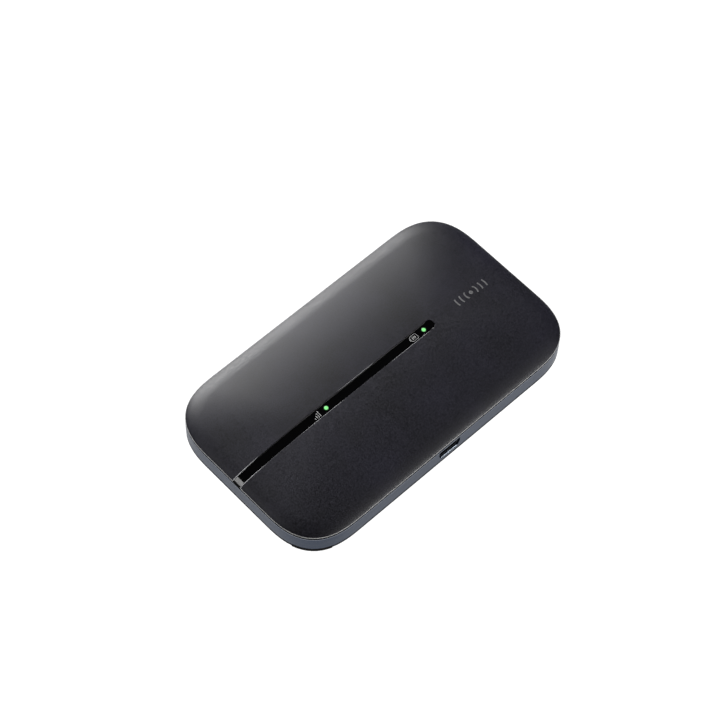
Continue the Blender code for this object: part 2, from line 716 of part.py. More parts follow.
def main():
    clear_scene()
    make_top_cover()
    make_indicator_strip()
    make_lamps()
    make_power_button()
    make_mid_frame()
    make_port()
    make_board()
    make_board_parts()
    make_battery()
    make_card_socket()
    make_reset_key()
    make_aerials()
    make_screws()
    make_back_cover()


main()
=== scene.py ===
"""Looks of the pocket mobile hotspot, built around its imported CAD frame.

Sizes are in millimetres and MM turns them into metres.  The object stands on z = 0 with its
centre over the origin; +X runs along its length and the power button is at the -X end.
Light, camera and floor emission values are in Blender's own units.
"""

import math

import bmesh
import bpy
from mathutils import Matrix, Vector


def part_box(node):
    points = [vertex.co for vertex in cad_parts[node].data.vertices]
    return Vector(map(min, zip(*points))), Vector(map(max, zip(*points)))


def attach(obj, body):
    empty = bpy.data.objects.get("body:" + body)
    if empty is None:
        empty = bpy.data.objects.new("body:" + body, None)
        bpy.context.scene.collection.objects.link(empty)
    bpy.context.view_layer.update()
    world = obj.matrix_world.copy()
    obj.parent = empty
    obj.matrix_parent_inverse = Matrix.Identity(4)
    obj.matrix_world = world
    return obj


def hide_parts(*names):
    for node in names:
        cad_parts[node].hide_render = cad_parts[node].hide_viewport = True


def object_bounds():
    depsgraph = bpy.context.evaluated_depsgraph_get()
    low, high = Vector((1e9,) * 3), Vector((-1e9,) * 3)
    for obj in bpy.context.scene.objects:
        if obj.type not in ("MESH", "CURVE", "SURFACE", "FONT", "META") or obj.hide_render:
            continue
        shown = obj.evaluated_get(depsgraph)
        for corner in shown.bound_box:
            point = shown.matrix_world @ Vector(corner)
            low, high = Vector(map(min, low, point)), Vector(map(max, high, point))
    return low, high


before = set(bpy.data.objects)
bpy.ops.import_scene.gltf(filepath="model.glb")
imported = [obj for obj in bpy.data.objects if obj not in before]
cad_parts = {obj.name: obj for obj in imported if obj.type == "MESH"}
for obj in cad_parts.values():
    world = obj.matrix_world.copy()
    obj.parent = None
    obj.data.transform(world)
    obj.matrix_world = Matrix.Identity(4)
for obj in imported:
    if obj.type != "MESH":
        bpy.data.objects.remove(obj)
cad_low, cad_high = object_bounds()

MM = 0.001
LENGTH = (cad_high.x - cad_low.x) / MM
WIDTH = (cad_high.y - cad_low.y) / MM
THICKNESS = (cad_high.z - cad_low.z) / MM

# Plan outline, shared by every shell
CORNER_RADIUS = 17.6
CORNER_EXPONENT = 2.7
CORNER_STEPS = 22

# Heights of the parting lines
BACK_RIM_TOP = 4.3
FRAME_BOTTOM = 4.6
FRAME_TOP = 10.12
COVER_BOTTOM = 10.71
CROWN_START = 10.8

# Crown of the top cover: a rounded edge on top of a gentle pillow
EDGE_INSET = 4.5
EDGE_RISE = 0.77
EDGE_EXPONENT = 1.8
PILLOW_INSET = 28.0
PILLOW_RISE = THICKNESS - CROWN_START - EDGE_RISE
COVER_WALL = 1.3
LIP_OUTER_INSET = 1.9
LIP_INNER_INSET = 2.5
COVER_LIP_BOTTOM = 9.65
BOSS_RADIUS = 1.9
BOSS_BORE_RADIUS = 0.95
BOSS_Z = (8.4, 11.7)
BOSS_BORE_TOP = 10.9

# Groove, strip and power button
GROOVE_HALF = 1.46
GROOVE_END = 21.6
GROOVE_EDGE_ROUND = 0.06
STRIP_HALF = 1.42
STRIP_START = -47.85
STRIP_END = 21.5
STRIP_DEPTH = 0.38
STRIP_THICKNESS = 1.6
STRIP_TOE = 0.45
STRIP_STATIONS = 70
STRIP_COVE = 0.10
BUTTON_FRONT = -49.7
BUTTON_BACK = -48.25
BUTTON_HALF = 1.34
BUTTON_BOTTOM = 10.55
BUTTON_EDGE = 0.10
BUTTON_DROP = 0.12
BUTTON_NOSE = -49.5
LAMP_X = {"signal": -18.0, "battery": 18.0}
LAMP_HOLE_RADIUS = 0.75
LENS_RADIUS = 0.71
GLOW_RADIUS = 0.56

# Side band, port and nail notch
FRAME_WALL = 1.6
FRAME_ROUND = 0.18
FLOOR_Z = (6.2, 7.0)
PORT_Z = (6.2, 9.25)
PORT_HALF = (2.95, 3.7)
PORT_CLEARANCE = 0.15
PORT_FRONT = -28.4
PORT_BACK = -23.6
PORT_SHEET = 0.3
PORT_POCKET_BACK = -22.9
PORT_POCKET_HALF = 4.3
NOTCH_HALF = 5.5
NOTCH_HEIGHT = 0.9
NOTCH_REACH = (-1.7, 3.0)
NOTCH_TAPER = 1.2
BACK_INSET = 6.0
BACK_EXPONENT = 1.5
BACK_INNER_INSET = 7.0
BACK_WALL = 1.2
BACK_CURVE_TOP = 4.05
BACK_LIP_TOP = 5.2
TAB_INSET = 1.95
TAB_THICKNESS = 0.8
TAB_LENGTH = 5.0
TAB_Z = (2.2, 5.8)
TAB_X = (-27.0, 27.0)

SMOOTH_ANGLE = math.radians(38)


# ---------------------------------------------------------------- mesh helpers


def corner_radius(inset):
    near_edge = min(inset, EDGE_INSET)
    return (CORNER_RADIUS - near_edge) * (WIDTH / 2 - inset) / (WIDTH / 2 - near_edge)


def outline(inset, z):
    """One level ring of the plan outline, moved inwards by inset."""
    half_x, half_y = LENGTH / 2 - inset, WIDTH / 2 - inset
    radius = corner_radius(inset)
    ring = []
    for quarter in range(4):
        for step in range(CORNER_STEPS + 1):
            angle = (quarter + step / CORNER_STEPS) * math.pi / 2
            across, along = math.cos(angle), math.sin(angle)
            power = abs(across) ** CORNER_EXPONENT + abs(along) ** CORNER_EXPONENT
            reach = radius / power ** (1 / CORNER_EXPONENT)
            side_x = 1 if quarter in (0, 3) else -1
            side_y = 1 if quarter in (0, 1) else -1
            x = side_x * (half_x - radius) + reach * across
            y = side_y * (half_y - radius) + reach * along
            ring.append((x, y, z))
    return ring


def crown_height(inset):
    edge = max(0.0, 1 - inset / EDGE_INSET)
    pillow = max(0.0, 1 - inset / PILLOW_INSET)
    edge_rise = EDGE_RISE * (1 - edge**EDGE_EXPONENT) ** (1 / EDGE_EXPONENT)
    return CROWN_START + edge_rise + PILLOW_RISE * (1 - pillow**2)


def crown_at(x):
    """Height of the cover's skin along the centre line."""
    return crown_height(min(LENGTH / 2 - abs(x), PILLOW_INSET))


def crown_insets(start, edge_steps, pillow_steps):
    insets = []
    for step in range(edge_steps):
        angle = step / edge_steps * math.pi / 2
        insets.append(EDGE_INSET * (1 - math.cos(angle) ** (2 / EDGE_EXPONENT)))
    for step in range(pillow_steps + 1):
        insets.append(EDGE_INSET + (PILLOW_INSET - EDGE_INSET) * step / pillow_steps)
    return [start] + [inset for inset in insets if inset > start + 0.02]


def make_object(name, points, faces, smooth=True):
    mesh = bpy.data.meshes.new(name)
    mesh.from_pydata([Vector(point) * MM for point in points], [], faces)
    work = bmesh.new()
    work.from_mesh(mesh)
    bmesh.ops.remove_doubles(work, verts=work.verts, dist=1e-7)
    bmesh.ops.recalc_face_normals(work, faces=work.faces)
    work.to_mesh(mesh)
    work.free()
    if smooth:
        mesh.shade_smooth()
        mesh.set_sharp_from_angle(angle=SMOOTH_ANGLE)
    new = bpy.data.objects.new(name, mesh)
    bpy.context.scene.collection.objects.link(new)
    return new


def loft(name, rings, smooth=True):
    """A closed skin through rings of equal length, with a cap on each end ring."""
    count = len(rings[0])
    points = [point for ring in rings for point in ring]
    faces = []
    for level in range(len(rings) - 1):
        low, high = level * count, (level + 1) * count
        for i in range(count):
            j = (i + 1) % count
            faces.append((low + i, low + j, high + j, high + i))
    faces.append(tuple(range(count)))
    faces.append(tuple(range(len(points) - count, len(points))))
    return make_object(name, points, faces, smooth)


def block(name, low, high):
    (x0, y0, z0), (x1, y1, z1) = low, high
    ring = ((x0, y0), (x1, y0), (x1, y1), (x0, y1))
    return loft(name, [[(x, y, z) for x, y in ring] for z in (z0, z1)])


def turned(name, centre, profile, sides=32):
    """A round solid about a vertical axis, from (radius, z) pairs."""
    turn = 2 * math.pi / sides
    rings = []
    for radius, z in profile:
        ring = []
        for i in range(sides):
            x = centre[0] + radius * math.cos(i * turn)
            y = centre[1] + radius * math.sin(i * turn)
            ring.append((x, y, z))
        rings.append(ring)
    return loft(name, rings)


def settle(target):
    """Applies the target's modifiers to its mesh."""
    graph = bpy.context.evaluated_depsgraph_get()
    mesh = bpy.data.meshes.new_from_object(target.evaluated_get(graph), depsgraph=graph)
    target.modifiers.clear()
    old, target.data = target.data, mesh
    bpy.data.meshes.remove(old)


def shape(target, tools, operation):
    """Cuts the tools away from the target, or joins them to it, and removes them."""
    for tool in tools:
        step = target.modifiers.new(tool.name, "BOOLEAN")
        step.operation = operation
        step.solver = "EXACT"
        step.object = tool
    settle(target)
    for tool in tools:
        bpy.data.objects.remove(tool, do_unlink=True)
    target.data.shade_smooth()
    target.data.set_sharp_from_angle(angle=SMOOTH_ANGLE)


def round_edges(target, width, segments=3, angle=35):
    edge = target.modifiers.new("edges", "BEVEL")
    edge.width = width * MM
    edge.segments = segments
    edge.limit_method = "ANGLE"
    edge.angle_limit = math.radians(angle)
    settle(target)
    weigh_normals(target)


def weigh_normals(target):
    target.data.shade_smooth()
    target.data.set_sharp_from_angle(angle=SMOOTH_ANGLE)
    normals = target.modifiers.new("normals", "WEIGHTED_NORMAL")
    normals.keep_sharp = True
    normals.weight = 80


def place(piece, body, slot, paint, *replaced):
    """Paints the piece and makes it ride on a CAD body in place of the CAD nodes it stands for."""
    piece.data.materials.clear()
    piece.data.materials.append(paint)
    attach(piece, body)
    if replaced:
        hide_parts(*replaced)


# ------------------------------------------------------------------- materials


def link_texture(tree, kind, size, stretch=(1.0, 1.0, 1.0), **inputs):
    """A solid texture with features about size millimetres across, fixed to the object."""
    coordinates = tree.nodes.new("ShaderNodeTexCoord")
    mapping = tree.nodes.new("ShaderNodeMapping")
    mapping.inputs["Scale"].default_value = stretch
    texture = tree.nodes.new(kind)
    texture.inputs["Scale"].default_value = 1 / (size * MM)
    for name, value in inputs.items():
        texture.inputs[name].default_value = value
    tree.links.new(coordinates.outputs["Object"], mapping.inputs["Vector"])
    tree.links.new(mapping.outputs["Vector"], texture.inputs["Vector"])
    return texture


def link_range(tree, value, low, high, start=0.3, end=0.7):
    """The texture's value, stretched from start..end to low..high."""
    spread = tree.nodes.new("ShaderNodeMapRange")
    spread.inputs["From Min"].default_value = start
    spread.inputs["From Max"].default_value = end
    spread.inputs["To Min"].default_value = low
    spread.inputs["To Max"].default_value = high
    tree.links.new(value, spread.inputs["Value"])
    return spread.outputs["Result"]


def link_colours(tree, factor, first, second):
    mix = tree.nodes.new("ShaderNodeMix")
    mix.data_type = "RGBA"
    mix.inputs["A"].default_value = (*first, 1.0)
    mix.inputs["B"].default_value = (*second, 1.0)
    tree.links.new(factor, mix.inputs["Factor"])
    return mix.outputs["Result"]


def link_over(tree, factor, under, colour):
    """Lays one colour over another where the factor is 1."""
    over = tree.nodes.new("ShaderNodeMix")
    over.data_type = "RGBA"
    over.inputs["B"].default_value = (*colour, 1.0)
    tree.links.new(factor, over.inputs["Factor"])
    tree.links.new(under, over.inputs["A"])
    return over.outputs["Result"]


def link_math(tree, operation, first, second):
    node = tree.nodes.new("ShaderNodeMath")
    node.operation = operation
    tree.links.new(first, node.inputs[0])
    tree.links.new(second, node.inputs[1])
    return node.outputs["Value"]


def link_painted_highlight_line(tree, tint, low, high, colour):
    """Lays a paler line on the surface between two heights, in millimetres: a painted highlight
    where light catches an edge.
    """
    coordinates = tree.nodes.new("ShaderNodeTexCoord")
    split = tree.nodes.new("ShaderNodeSeparateXYZ")
    tree.links.new(coordinates.outputs["Object"], split.inputs["Vector"])
    fade = (high - low) / 4
    rise = link_range(tree, split.outputs["Z"], 0.0, 1.0, (low - fade) * MM, low * MM)
    fall = link_range(tree, split.outputs["Z"], 1.0, 0.0, high * MM, (high + fade) * MM)
    return link_over(tree, link_math(tree, "MULTIPLY", rise, fall), tint, colour)


def scaled(colour, factor):
    return tuple(channel * factor for channel in colour)


def make_surface(
    name,
    colour,
    roughness,
    metallic=0.0,
    spread=0.14,
    rough_spread=0.05,
    cloud=7.0,
    grain=0.16,
    depth=0.003,
    stretch=(1.0, 1.0, 1.0),
    specular=0.5,
    speck=None,
    edge=None,
):
    """A moulded or rolled surface: slow colour drift, fine grain in colour, gloss and relief."""
    material = bpy.data.materials.new(name)
    material.use_nodes = True
    tree = material.node_tree
    shader = tree.nodes["Principled BSDF"]
    shader.inputs["Metallic"].default_value = metallic
    shader.inputs["Specular IOR Level"].default_value = specular
    drift = link_texture(tree, "ShaderNodeTexNoise", cloud, Detail=3.0)
    fine = link_texture(tree, "ShaderNodeTexNoise", grain, stretch, Detail=2.0)
    slow = link_range(tree, drift.outputs["Fac"], 0.0, 0.5)
    quick = link_range(tree, fine.outputs["Fac"], 0.0, 0.5)
    both = link_math(tree, "ADD", slow, quick)
    tint = link_colours(tree, both, scaled(colour, 1 - spread), scaled(colour, 1 + spread))
    if speck:
        size, speck_colour, share = speck
        dots = link_texture(tree, "ShaderNodeTexVoronoi", size)
        chosen = link_range(tree, dots.outputs["Distance"], 1.0, 0.0, share, share + 0.05)
        tint = link_over(tree, chosen, tint, speck_colour)
    # The edge entry paints a highlight line into the base colour.
    if edge:
        tint = link_painted_highlight_line(tree, tint, *edge)
    tree.links.new(tint, shader.inputs["Base Color"])
    glossy, dull = roughness - rough_spread, roughness + rough_spread
    rough = link_range(tree, fine.outputs["Fac"], glossy, dull)
    tree.links.new(rough, shader.inputs["Roughness"])
    bump = tree.nodes.new("ShaderNodeBump")
    bump.inputs["Distance"].default_value = depth * MM
    tree.links.new(fine.outputs["Fac"], bump.inputs["Height"])
    tree.links.new(bump.outputs["Normal"], shader.inputs["Normal"])
    return material


LENS_GREEN = (0.004, 0.014, 0.004)
LENS_LIT = (0.30, 1.0, 0.32)
LENS_RIM = (0.0, 0.018, 0.001)
LENS_STRENGTH = 0.95


def make_lens(name, centre):
    """A lit light pipe: brightest over its axis, deeper green towards its rim."""
    material = make_surface(name, LENS_GREEN, 0.20, spread=0.20, grain=0.30)
    tree = material.node_tree
    shader = tree.nodes["Principled BSDF"]
    coordinates = tree.nodes.new("ShaderNodeTexCoord")
    offset = tree.nodes.new("ShaderNodeVectorMath")
    offset.operation = "SUBTRACT"
    offset.inputs[1].default_value = Vector((*centre, 0.0)) * MM
    flat = tree.nodes.new("ShaderNodeVectorMath")
    flat.operation = "MULTIPLY"
    flat.inputs[1].default_value = (1.0, 1.0, 0.0)
    reach = tree.nodes.new("ShaderNodeVectorMath")
    reach.operation = "LENGTH"
    tree.links.new(coordinates.outputs["Object"], offset.inputs[0])
    tree.links.new(offset.outputs["Vector"], flat.inputs[0])
    tree.links.new(flat.outputs["Vector"], reach.inputs[0])
    inside, outside = GLOW_RADIUS * 0.84 * MM, GLOW_RADIUS * 1.16 * MM
    rim = link_range(tree, reach.outputs["Value"], 0.0, 1.0, inside, outside)
    glow = link_colours(tree, rim, LENS_LIT, LENS_RIM)
    tree.links.new(glow, shader.inputs["Emission Color"])
    shader.inputs["Emission Strength"].default_value = LENS_STRENGTH
    return material


# Painted highlight lines along the parting edges, where light catches them: lowest height, highest
# height, colour
COVER_HIGHLIGHT_LINE = (10.73, 10.94, (0.62, 0.62, 0.62))
BAND_HIGHLIGHT_LINE = (9.82, 9.96, (0.26, 0.28, 0.33))

# Each finish: colour and roughness, then what differs from make_surface's defaults
FINISHES = {
    "charcoal_plastic": dict(
        colour=(0.0098, 0.0092, 0.0168), roughness=0.405, spread=0.8, rough_spread=0.08,
        cloud=14.0, grain=0.40, depth=0.009, edge=COVER_HIGHLIGHT_LINE,
    ),
    "piano_black": dict(
        colour=(0.0012, 0.0012, 0.0015), roughness=0.07, spread=0.3, rough_spread=0.015,
        cloud=5.0, grain=0.9, depth=0.0002, speck=(0.45, (0.012, 0.012, 0.013), 0.035),
    ),
    "button_black": dict(
        colour=(0.0045, 0.0045, 0.0055), roughness=0.14, rough_spread=0.02, grain=0.6,
        depth=0.0003,
    ),
    "slate_plastic": dict(
        colour=(0.0165, 0.0305, 0.0615), roughness=0.42, metallic=0.6, spread=0.16, cloud=11.0,
        grain=0.22, depth=0.002, stretch=(0.03, 0.03, 1.0), specular=0.3, edge=BAND_HIGHLIGHT_LINE,
    ),
    "navy_plastic": dict(
        colour=(0.0085, 0.0110, 0.0180), roughness=0.60, spread=0.2, cloud=16.0, grain=0.28,
        depth=0.008, specular=0.16,
    ),
    # Pale grey for the strips that paint highlights along the groove's edges.
    "highlight_grey": dict(
        colour=(0.55, 0.55, 0.57), roughness=0.30, spread=0.08, cloud=3.0, grain=0.2,
    ),
    # Almost black steel for the receptacle's shell: painted shade for the inside of the mouth.
    "port_steel_painted_shade": dict(
        colour=(0.020, 0.020, 0.022), roughness=0.35, metallic=1.0, spread=0.2, cloud=2.0,
        grain=0.2, depth=0.002,
    ),
    "lip_steel": dict(
        colour=(0.38, 0.43, 0.49), roughness=0.34, metallic=1.0, spread=0.06, cloud=2.0,
        grain=0.2, depth=0.001, stretch=(0.12, 1.0, 1.0),
    ),
    "lamp_white": dict(
        colour=(0.70, 0.70, 0.62), roughness=0.40, spread=0.05, grain=0.3,
    ),
    "black_rubber": dict(
        colour=(0.012, 0.012, 0.012), roughness=0.85, grain=0.2, depth=0.01,
    ),
    # Near-black finish for pieces that stand in for shadow: painted shade.
    "painted_shadow_black": dict(
        colour=(0.0025, 0.0025, 0.003), roughness=0.85, grain=0.3, specular=0.1,
    ),
    "board_green": dict(
        colour=(0.010, 0.072, 0.035), roughness=0.42, spread=0.25, cloud=2.0, grain=0.5,
        depth=0.004, speck=(1.6, (0.62, 0.46, 0.18), 0.10),
    ),
    "tinned_steel": dict(
        colour=(0.56, 0.56, 0.55), roughness=0.30, metallic=1.0, spread=0.08, cloud=4.0,
        grain=0.35, depth=0.002, stretch=(0.12, 1.0, 1.0),
    ),
    "chip_black": dict(
        colour=(0.020, 0.020, 0.022), roughness=0.55, spread=0.2, grain=0.12, depth=0.004,
        speck=(0.5, (0.06, 0.06, 0.06), 0.08),
    ),
    "contact_gold": dict(
        colour=(0.83, 0.57, 0.19), roughness=0.24, metallic=1.0, spread=0.10, cloud=1.5,
        grain=0.3, depth=0.002, stretch=(1.0, 1.0, 0.15),
    ),
    "graphite": dict(
        colour=(0.060, 0.060, 0.065), roughness=0.42, metallic=0.5, spread=0.2, cloud=5.0,
        grain=0.4, depth=0.003, stretch=(0.2, 1.0, 1.0),
    ),
    "cell_foil": dict(
        colour=(0.46, 0.47, 0.49), roughness=0.40, metallic=0.55, spread=0.06, cloud=9.0,
        grain=0.4, depth=0.003, stretch=(0.1, 1.0, 1.0),
    ),
    "screw_zinc": dict(
        colour=(0.38, 0.38, 0.40), roughness=0.34, metallic=1.0, spread=0.14, cloud=1.2,
        grain=0.2, depth=0.003,
    ),
    "port_plastic": dict(
        colour=(0.012, 0.012, 0.013), roughness=0.45, spread=0.15, grain=0.15, depth=0.003,
    ),
    "aerial_copper": dict(
        colour=(0.62, 0.33, 0.18), roughness=0.32, metallic=1.0, spread=0.16, cloud=3.0,
        grain=0.3, depth=0.002, stretch=(1.0, 0.2, 1.0),
    ),
    "cell_case": dict(
        colour=(0.018, 0.018, 0.020), roughness=0.48, spread=0.15, cloud=8.0, grain=0.18,
        depth=0.004,
    ),
    "mark_ink": dict(
        colour=(0.48, 0.48, 0.48), roughness=0.55, spread=0.10, cloud=0.8, grain=0.1,
    ),
    "glyph_ink": dict(
        colour=(0.17, 0.17, 0.175), roughness=0.50, spread=0.10, cloud=1.5, grain=0.1,
    ),
}


def make_materials():
    paint = {name: make_surface(name, **look) for name, look in FINISHES.items()}
    for name, x in LAMP_X.items():
        paint[f"{name}_lens"] = make_lens(f"{name}_lens", (x, 0.0))
    return paint


# ------------------------------------------------------------------ top cover


def screw_places():
    """Plan centres of the screws, in millimetres, read from the frame."""
    places = []
    for name in sorted(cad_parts):
        if name.startswith("screw_"):
            low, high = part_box(name)
            places.append(((low.x + high.x) / 2 / MM, (low.y + high.y) / 2 / MM))
    return places


def groove_path(half, steps=14):
    """Plan points and outward normals of the groove, from its open -X end round and back."""
    centre = GROOVE_END - GROOVE_HALF
    start = -LENGTH / 2 - 2.0
    stations = [start + 0.25 * i for i in range(28)]
    stations += [start + 7.0 + 2.0 * i for i in range(14)]
    near = [(x, -half, 0.0, -1.0) for x in stations]
    turn = []
    for step in range(steps + 1):
        angle = (step / steps - 0.5) * math.pi
        across, along = math.cos(angle), math.sin(angle)
        turn.append((centre + half * across, half * along, across, along))
    return near + turn + [(x, half, 0.0, 1.0) for x in reversed(stations)]


def make_groove_cutter():
    """Straight walls that flare with a small round where they reach the crown."""
    radius = GROOVE_EDGE_ROUND
    levels = [(0.0, None), (0.0, -radius)]
    for step in range(1, 6):
        angle = step / 5 * math.pi / 2
        levels.append((radius * (1 - math.cos(angle)), radius * (math.sin(angle) - 1)))
    levels.append((radius * 1.6, 0.12))
    path = groove_path(GROOVE_HALF)
    rings = []
    for offset, rise in levels:
        ring = []
        for x, y, normal_x, normal_y in path:
            crown = crown_at(max(x, 0.02 - LENGTH / 2))
            z = COVER_LIP_BOTTOM - 1 if rise is None else crown + rise
            ring.append((x + offset * normal_x, y + offset * normal_y, z))
        rings.append(ring)
    rings.append([(x, y, THICKNESS + 1) for x, y, _ in rings[-1]])
    return loft("groove_cutter", rings)


def make_top_cover(paint):
    outer = [outline(inset, crown_height(inset)) for inset in crown_insets(0.0, 9, 16)]
    inner_insets = crown_insets(LIP_INNER_INSET, 6, 6)
    inner = [outline(inset, crown_height(inset) - COVER_WALL) for inset in inner_insets]
    rim = [
        outline(LIP_INNER_INSET, COVER_LIP_BOTTOM),
        outline(LIP_OUTER_INSET, COVER_LIP_BOTTOM),
        outline(LIP_OUTER_INSET, COVER_BOTTOM),
        outline(0.10, COVER_BOTTOM),
        outline(0.03, COVER_BOTTOM + 0.02),
        outline(0.0, COVER_BOTTOM + 0.08),
    ]
    cover = loft("top_cover_shell", inner[::-1] + rim + outer)
    bosses, bores = [], []
    for number, centre in enumerate(screw_places(), 1):
        bosses.append(turned(f"boss_{number}", centre, [(BOSS_RADIUS, z) for z in BOSS_Z]))
        bore = [(BOSS_BORE_RADIUS, BOSS_Z[0] - 1), (BOSS_BORE_RADIUS, BOSS_BORE_TOP)]
        bores.append(turned(f"bore_{number}", centre, bore))
    shape(cover, bosses, "UNION")
    shape(cover, bores + [make_groove_cutter()], "DIFFERENCE")
    weigh_normals(cover)
    place(cover, "housing", "charcoal_plastic", paint["charcoal_plastic"], "top_cover")


# ------------------------------------------------------------- indicator strip


def smooth_step(value, start, end):
    share = min(1.0, max(0.0, (value - start) / (end - start)))
    return share * share * (3 - 2 * share)


def strip_depth(x):
    """Depth of the floor under the crown: it rises to the surface at the round end."""
    rise = smooth_step(x, LAMP_X["battery"] + 1.0, STRIP_END)
    return STRIP_DEPTH * (1 - 0.75 * rise)


def strip_section(x):
    """One upright section: a level floor that turns up in a small cove along each side."""
    past = x - (STRIP_END - STRIP_HALF)
    half = STRIP_HALF if past <= 0 else math.sqrt(max(STRIP_HALF**2 - past**2, 0.003))
    crown = crown_at(x)
    floor = crown - strip_depth(x)
    toe = smooth_step(-x, -STRIP_START - 12.0, -STRIP_START)
    low = floor - STRIP_THICKNESS + toe * (STRIP_THICKNESS - STRIP_TOE)
    cove = min(STRIP_COVE, half * 0.4)
    top = []
    for side in (1, -1):
        turn = []
        for step in range(4):
            angle = step / 3 * math.pi / 2
            across = half - cove * (1 - math.sin(angle))
            turn.append((side * across, floor + cove * (1 - math.cos(angle))))
        top += turn[::-1] if side == 1 else turn
    return [(x, y, z) for y, z in top + [(-half, low), (half, low)]]


def make_strip(paint):
    sections = []
    straight = STRIP_END - STRIP_HALF
    for step in range(STRIP_STATIONS + 1):
        x = STRIP_START + (straight - STRIP_START) * step / STRIP_STATIONS
        sections.append(strip_section(x))
    for step in range(1, 13):
        sections.append(strip_section(straight + STRIP_HALF * math.sin(step / 12 * math.pi / 2)))
    strip = loft("gloss_strip", sections)
    holes = []
    for name, x in LAMP_X.items():
        hole = [(LAMP_HOLE_RADIUS, THICKNESS - 5), (LAMP_HOLE_RADIUS, THICKNESS)]
        holes.append(turned(f"{name}_hole", (x, 0.0), hole))
    shape(strip, holes, "DIFFERENCE")
    weigh_normals(strip)
    place(strip, "housing", "piano_black", paint["piano_black"], "indicator_strip")


def make_lenses(paint):
    for name, x in LAMP_X.items():
        floor = crown_at(x) - STRIP_DEPTH
        foot, shoulder, chamfer, flange = 9.1, 9.9, 0.1, 1.1
        profile = [(flange - chamfer, foot), (flange, foot + chamfer)]
        profile += [(flange, shoulder - chamfer), (flange - chamfer, shoulder)]
        profile += [(LENS_RADIUS, shoulder), (LENS_RADIUS, floor - 0.05)]
        for step in range(1, 6):
            angle = step / 6 * math.pi / 2
            profile.append((LENS_RADIUS * math.cos(angle), floor - 0.05 + 0.10 * math.sin(angle)))
        lens = turned(f"{name}_lens", (x, 0.0), profile)
        place(lens, "housing", "green_lens", paint[f"{name}_lens"], f"{name}_light_pipe")


# ---------------------------------------------------------------- printed marks

INK_LIFT = 0.004
INK_THICKNESS = 0.02


def ink_ribbon(inner, outer, height, closed=False):
    """Points and faces of a thin solid between two plan lines with as many points each."""
    count = len(inner)
    points = []
    for rise in (INK_LIFT, INK_LIFT + INK_THICKNESS):
        for line in (inner, outer):
            points += [(x, y, height(x) + rise) for x, y in line]
    low_in, low_out, high_in, high_out = (i * count for i in range(4))
    faces = []
    for i in range(count if closed else count - 1):
        j = (i + 1) % count
        faces.append((low_in + i, low_out + i, low_out + j, low_in + j))
        faces.append((high_in + i, high_in + j, high_out + j, high_out + i))
        faces.append((low_in + i, low_in + j, high_in + j, high_in + i))
        faces.append((low_out + i, high_out + i, high_out + j, low_out + j))
    if not closed:
        for i in (0, count - 1):
            faces.append((low_in + i, high_in + i, high_out + i, low_out + i))
    return points, faces


def ink_piece(name, ribbons, height, paint):
    points, faces = [], []
    for inner, outer, closed in ribbons:
        new_points, new_faces = ink_ribbon(inner, outer, height, closed)
        start = len(points)
        points += new_points
        faces += [tuple(index + start for index in face) for face in new_faces]
    place(make_object(name, points, faces, smooth=False), "housing", "lamp_white", paint)


def bar(x, low, high, width):
    """A ribbon across the groove, from y = low to y = high."""
    left, right = x - width / 2, x + width / 2
    return [(left, low), (left, high)], [(right, low), (right, high)], False


def rounded_loop(centre, half_x, half_y, radius, steps=6):
    loop = []
    for quarter in range(4):
        side_x = 1 if quarter in (0, 3) else -1
        side_y = 1 if quarter in (0, 1) else -1
        for step in range(steps + 1):
            angle = (quarter + step / steps) * math.pi / 2
            x = centre[0] + side_x * (half_x - radius) + radius * math.cos(angle)
            y = centre[1] + side_y * (half_y - radius) + radius * math.sin(angle)
            loop.append((x, y))
    return loop


def arc(centre_x, radius, half_height, facing, steps=12):
    """A plan arc about (centre_x, 0) that opens along X, cut off at y = half_height."""
    reach = math.asin(min(1.0, half_height / radius))
    line = []
    for step in range(steps + 1):
        angle = reach * (2 * step / steps - 1)
        line.append((centre_x + facing * radius * math.cos(angle), radius * math.sin(angle)))
    return line


def strip_floor(x):
    return crown_at(x) - strip_depth(x)


def make_marks(paint):
    """Signal bars and a battery sign beside the lamps, and a radio-wave sign on the cover."""
    first, pitch, width, foot = -22.33, 0.58, 0.20, -0.95
    bars = []
    for i, height in enumerate((0.55, 1.05, 1.5, 1.95)):
        bars.append(bar(first + i * pitch, foot, foot + height, width))
    ink_piece("signal_bars_mark", bars, strip_floor, paint["mark_ink"])

    centre, half_x, half_y, line = (14.3, 0.0), 1.22, 0.93, 0.14
    cell_half = 0.40
    inner = rounded_loop(centre, half_x - line, half_y - line, 0.42)
    ribbons = [(inner, rounded_loop(centre, half_x, half_y, 0.55), True)]
    ribbons.append(bar(centre[0] - half_x - 0.20, -cell_half, cell_half, 0.20))
    for i in (-1, 0, 1):
        ribbons.append(bar(centre[0] + i * 0.45, -cell_half, cell_half, 0.26))
    ink_piece("battery_mark", ribbons, strip_floor, paint["mark_ink"])

    sign_x, weight, half_height = 36.0, 0.42, 1.2
    ribbons = []
    for facing in (-1, 1):
        for radius in (2.0, 3.7, 5.4):
            inner = arc(sign_x, radius - weight / 2, half_height, facing)
            outer = arc(sign_x, radius + weight / 2, half_height, facing)
            ribbons.append((inner, outer, False))
    dot_inner = rounded_loop((sign_x, 0.0), 0.12, 0.12, 0.12)
    dot_outer = rounded_loop((sign_x, 0.0), 0.6, 0.6, 0.6)
    ribbons.append((dot_inner, dot_outer, True))
    ink_piece("radio_wave_mark", ribbons, crown_at, paint["glyph_ink"])


# ----------------------------------------------------------------- power button


